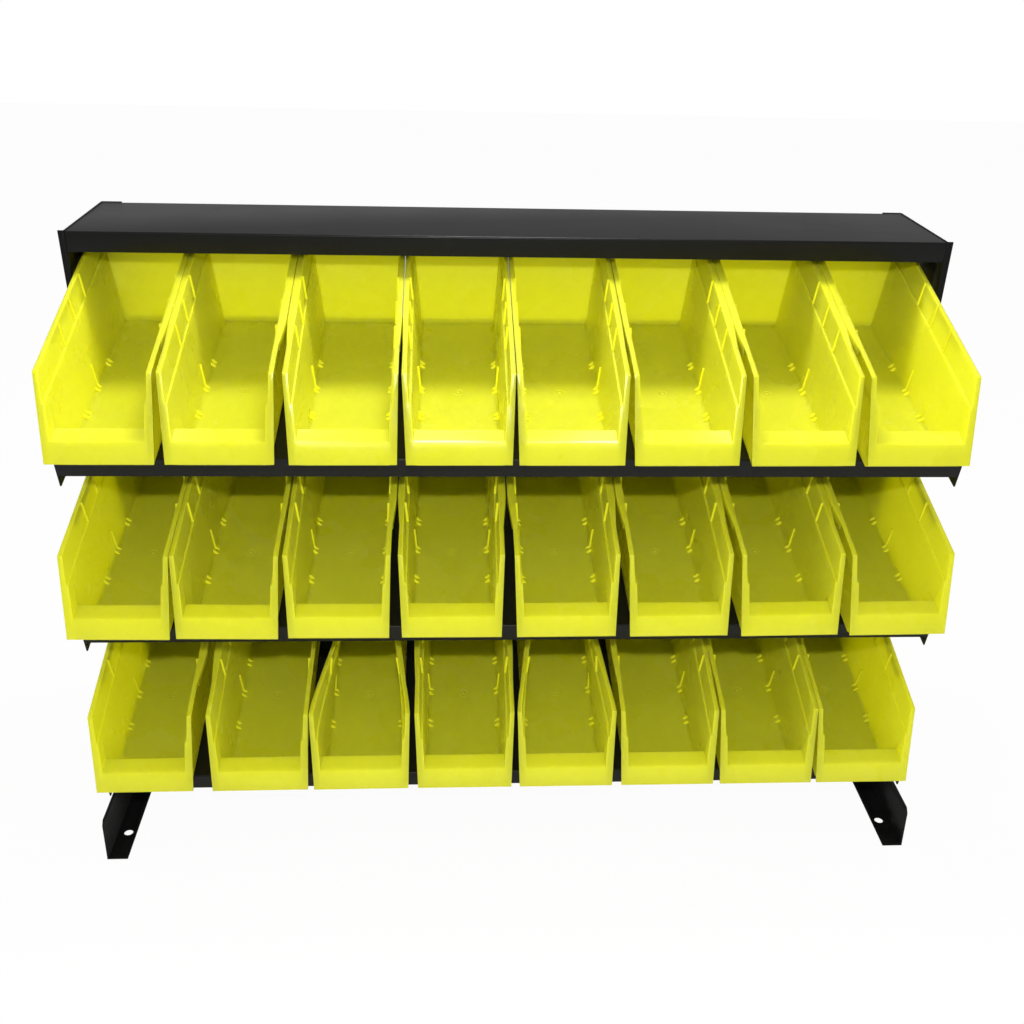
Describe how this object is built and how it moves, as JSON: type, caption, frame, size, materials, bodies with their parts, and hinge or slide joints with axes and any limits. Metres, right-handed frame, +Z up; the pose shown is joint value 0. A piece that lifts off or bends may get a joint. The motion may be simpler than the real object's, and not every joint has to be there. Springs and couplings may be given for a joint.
{
  "type": "bin rack",
  "caption": "Bench rack of sloping black steel shelves under a flat cap, filled with open-front yellow plastic bins that slide forward.",
  "frame": {"origin": "on the bench, under the middle of the rack's outline", "axes": "+X along the rack to the right, +Y to the rear, +Z up"},
  "size_m": [0.8994, 0.3589, 0.6236],
  "materials": {
    "black_steel": "black powder coat, half gloss",
    "zinc_steel": "black coated bolts and nuts",
    "yellow_plastic": "moulded polypropylene, half gloss, slightly translucent"
  },
  "bodies": {
    "rack": {"top_cap": "black_steel", "upright_left": "black_steel", "upright_right": "black_steel", "shelf_top": "black_steel", "shelf_middle": "black_steel", "shelf_bottom": "black_steel", "foot_left": "black_steel", "foot_right": "black_steel", "shelf_bolts_left": "zinc_steel", "shelf_nuts_left": "zinc_steel", "cap_bolts_left": "zinc_steel", "cap_nuts_left": "zinc_steel", "foot_bolts_left": "zinc_steel", "foot_nuts_left": "zinc_steel", "shelf_bolts_right": "zinc_steel", "shelf_nuts_right": "zinc_steel", "cap_bolts_right": "zinc_steel", "cap_nuts_right": "zinc_steel", "foot_bolts_right": "zinc_steel", "foot_nuts_right": "zinc_steel"},
    "bin_top_1_body": {"bin_top_1": "yellow_plastic"},
    "bin_top_2_body": {"bin_top_2": "yellow_plastic"},
    "bin_top_3_body": {"bin_top_3": "yellow_plastic"},
    "bin_top_4_body": {"bin_top_4": "yellow_plastic"},
    "bin_top_5_body": {"bin_top_5": "yellow_plastic"},
    "bin_top_6_body": {"bin_top_6": "yellow_plastic"},
    "bin_top_7_body": {"bin_top_7": "yellow_plastic"},
    "bin_top_8_body": {"bin_top_8": "yellow_plastic"},
    "bin_middle_1_body": {"bin_middle_1": "yellow_plastic"},
    "bin_middle_2_body": {"bin_middle_2": "yellow_plastic"},
    "bin_middle_3_body": {"bin_middle_3": "yellow_plastic"},
    "bin_middle_4_body": {"bin_middle_4": "yellow_plastic"},
    "bin_middle_5_body": {"bin_middle_5": "yellow_plastic"},
    "bin_middle_6_body": {"bin_middle_6": "yellow_plastic"},
    "bin_middle_7_body": {"bin_middle_7": "yellow_plastic"},
    "bin_middle_8_body": {"bin_middle_8": "yellow_plastic"},
    "bin_bottom_1_body": {"bin_bottom_1": "yellow_plastic"},
    "bin_bottom_2_body": {"bin_bottom_2": "yellow_plastic"},
    "bin_bottom_3_body": {"bin_bottom_3": "yellow_plastic"},
    "bin_bottom_4_body": {"bin_bottom_4": "yellow_plastic"},
    "bin_bottom_5_body": {"bin_bottom_5": "yellow_plastic"},
    "bin_bottom_6_body": {"bin_bottom_6": "yellow_plastic"},
    "bin_bottom_7_body": {"bin_bottom_7": "yellow_plastic"},
    "bin_bottom_8_body": {"bin_bottom_8": "yellow_plastic"}
  },
  "joints": [
    {"name": "bin_top_1_slide", "type": "slide", "parent": "rack", "child": "bin_top_1_body", "axis": [0, -0.977, -0.213], "range_m": [0, 0.15]},
    {"name": "bin_top_2_slide", "type": "slide", "parent": "rack", "child": "bin_top_2_body", "axis": [0, -0.977, -0.213], "range_m": [0, 0.15]},
    {"name": "bin_top_3_slide", "type": "slide", "parent": "rack", "child": "bin_top_3_body", "axis": [0.0037, -0.977, -0.213], "range_m": [0, 0.15]},
    {"name": "bin_top_4_slide", "type": "slide", "parent": "rack", "child": "bin_top_4_body", "axis": [0.0027, -0.977, -0.213], "range_m": [0, 0.15]},
    {"name": "bin_top_5_slide", "type": "slide", "parent": "rack", "child": "bin_top_5_body", "axis": [0.0018, -0.977, -0.213], "range_m": [0, 0.15]},
    {"name": "bin_top_6_slide", "type": "slide", "parent": "rack", "child": "bin_top_6_body", "axis": [0.007, -0.977, -0.213], "range_m": [0, 0.15]},
    {"name": "bin_top_7_slide", "type": "slide", "parent": "rack", "child": "bin_top_7_body", "axis": [0.007, -0.977, -0.213], "range_m": [0, 0.15]},
    {"name": "bin_top_8_slide", "type": "slide", "parent": "rack", "child": "bin_top_8_body", "axis": [0.0053, -0.977, -0.213], "range_m": [0, 0.15]},
    {"name": "bin_middle_1_slide", "type": "slide", "parent": "rack", "child": "bin_middle_1_body", "axis": [-0.0139, -0.977, -0.213], "range_m": [0, 0.15]},
    {"name": "bin_middle_2_slide", "type": "slide", "parent": "rack", "child": "bin_middle_2_body", "axis": [-0.0139, -0.977, -0.213], "range_m": [0, 0.15]},
    {"name": "bin_middle_3_slide", "type": "slide", "parent": "rack", "child": "bin_middle_3_body", "axis": [-0.0053, -0.977, -0.213], "range_m": [0, 0.15]},
    {"name": "bin_middle_4_slide", "type": "slide", "parent": "rack", "child": "bin_middle_4_body", "axis": [-0.0018, -0.977, -0.213], "range_m": [0, 0.15]},
    {"name": "bin_middle_5_slide", "type": "slide", "parent": "rack", "child": "bin_middle_5_body", "axis": [0.0053, -0.977, -0.213], "range_m": [0, 0.15]},
    {"name": "bin_middle_6_slide", "type": "slide", "parent": "rack", "child": "bin_middle_6_body", "axis": [0.0088, -0.977, -0.213], "range_m": [0, 0.15]},
    {"name": "bin_middle_7_slide", "type": "slide", "parent": "rack", "child": "bin_middle_7_body", "axis": [0.0157, -0.9769, -0.213], "range_m": [0, 0.15]},
    {"name": "bin_middle_8_slide", "type": "slide", "parent": "rack", "child": "bin_middle_8_body", "axis": [0.0139, -0.977, -0.213], "range_m": [0, 0.15]},
    {"name": "bin_bottom_1_slide", "type": "slide", "parent": "rack", "child": "bin_bottom_1_body", "axis": [0.0035, -0.977, -0.213], "range_m": [0, 0.15]},
    {"name": "bin_bottom_2_slide", "type": "slide", "parent": "rack", "child": "bin_bottom_2_body", "axis": [0.0035, -0.977, -0.213], "range_m": [0, 0.15]},
    {"name": "bin_bottom_3_slide", "type": "slide", "parent": "rack", "child": "bin_bottom_3_body", "axis": [0.0035, -0.977, -0.213], "range_m": [0, 0.15]},
    {"name": "bin_bottom_4_slide", "type": "slide", "parent": "rack", "child": "bin_bottom_4_body", "axis": [0, -0.977, -0.213], "range_m": [0, 0.15]},
    {"name": "bin_bottom_5_slide", "type": "slide", "parent": "rack", "child": "bin_bottom_5_body", "axis": [0, -0.977, -0.213], "range_m": [0, 0.15]},
    {"name": "bin_bottom_6_slide", "type": "slide", "parent": "rack", "child": "bin_bottom_6_body", "axis": [0, -0.977, -0.213], "range_m": [0, 0.15]},
    {"name": "bin_bottom_7_slide", "type": "slide", "parent": "rack", "child": "bin_bottom_7_body", "axis": [0, -0.977, -0.213], "range_m": [0, 0.15]},
    {"name": "bin_bottom_8_slide", "type": "slide", "parent": "rack", "child": "bin_bottom_8_body", "axis": [0, -0.977, -0.213], "range_m": [0, 0.15]}
  ]
}
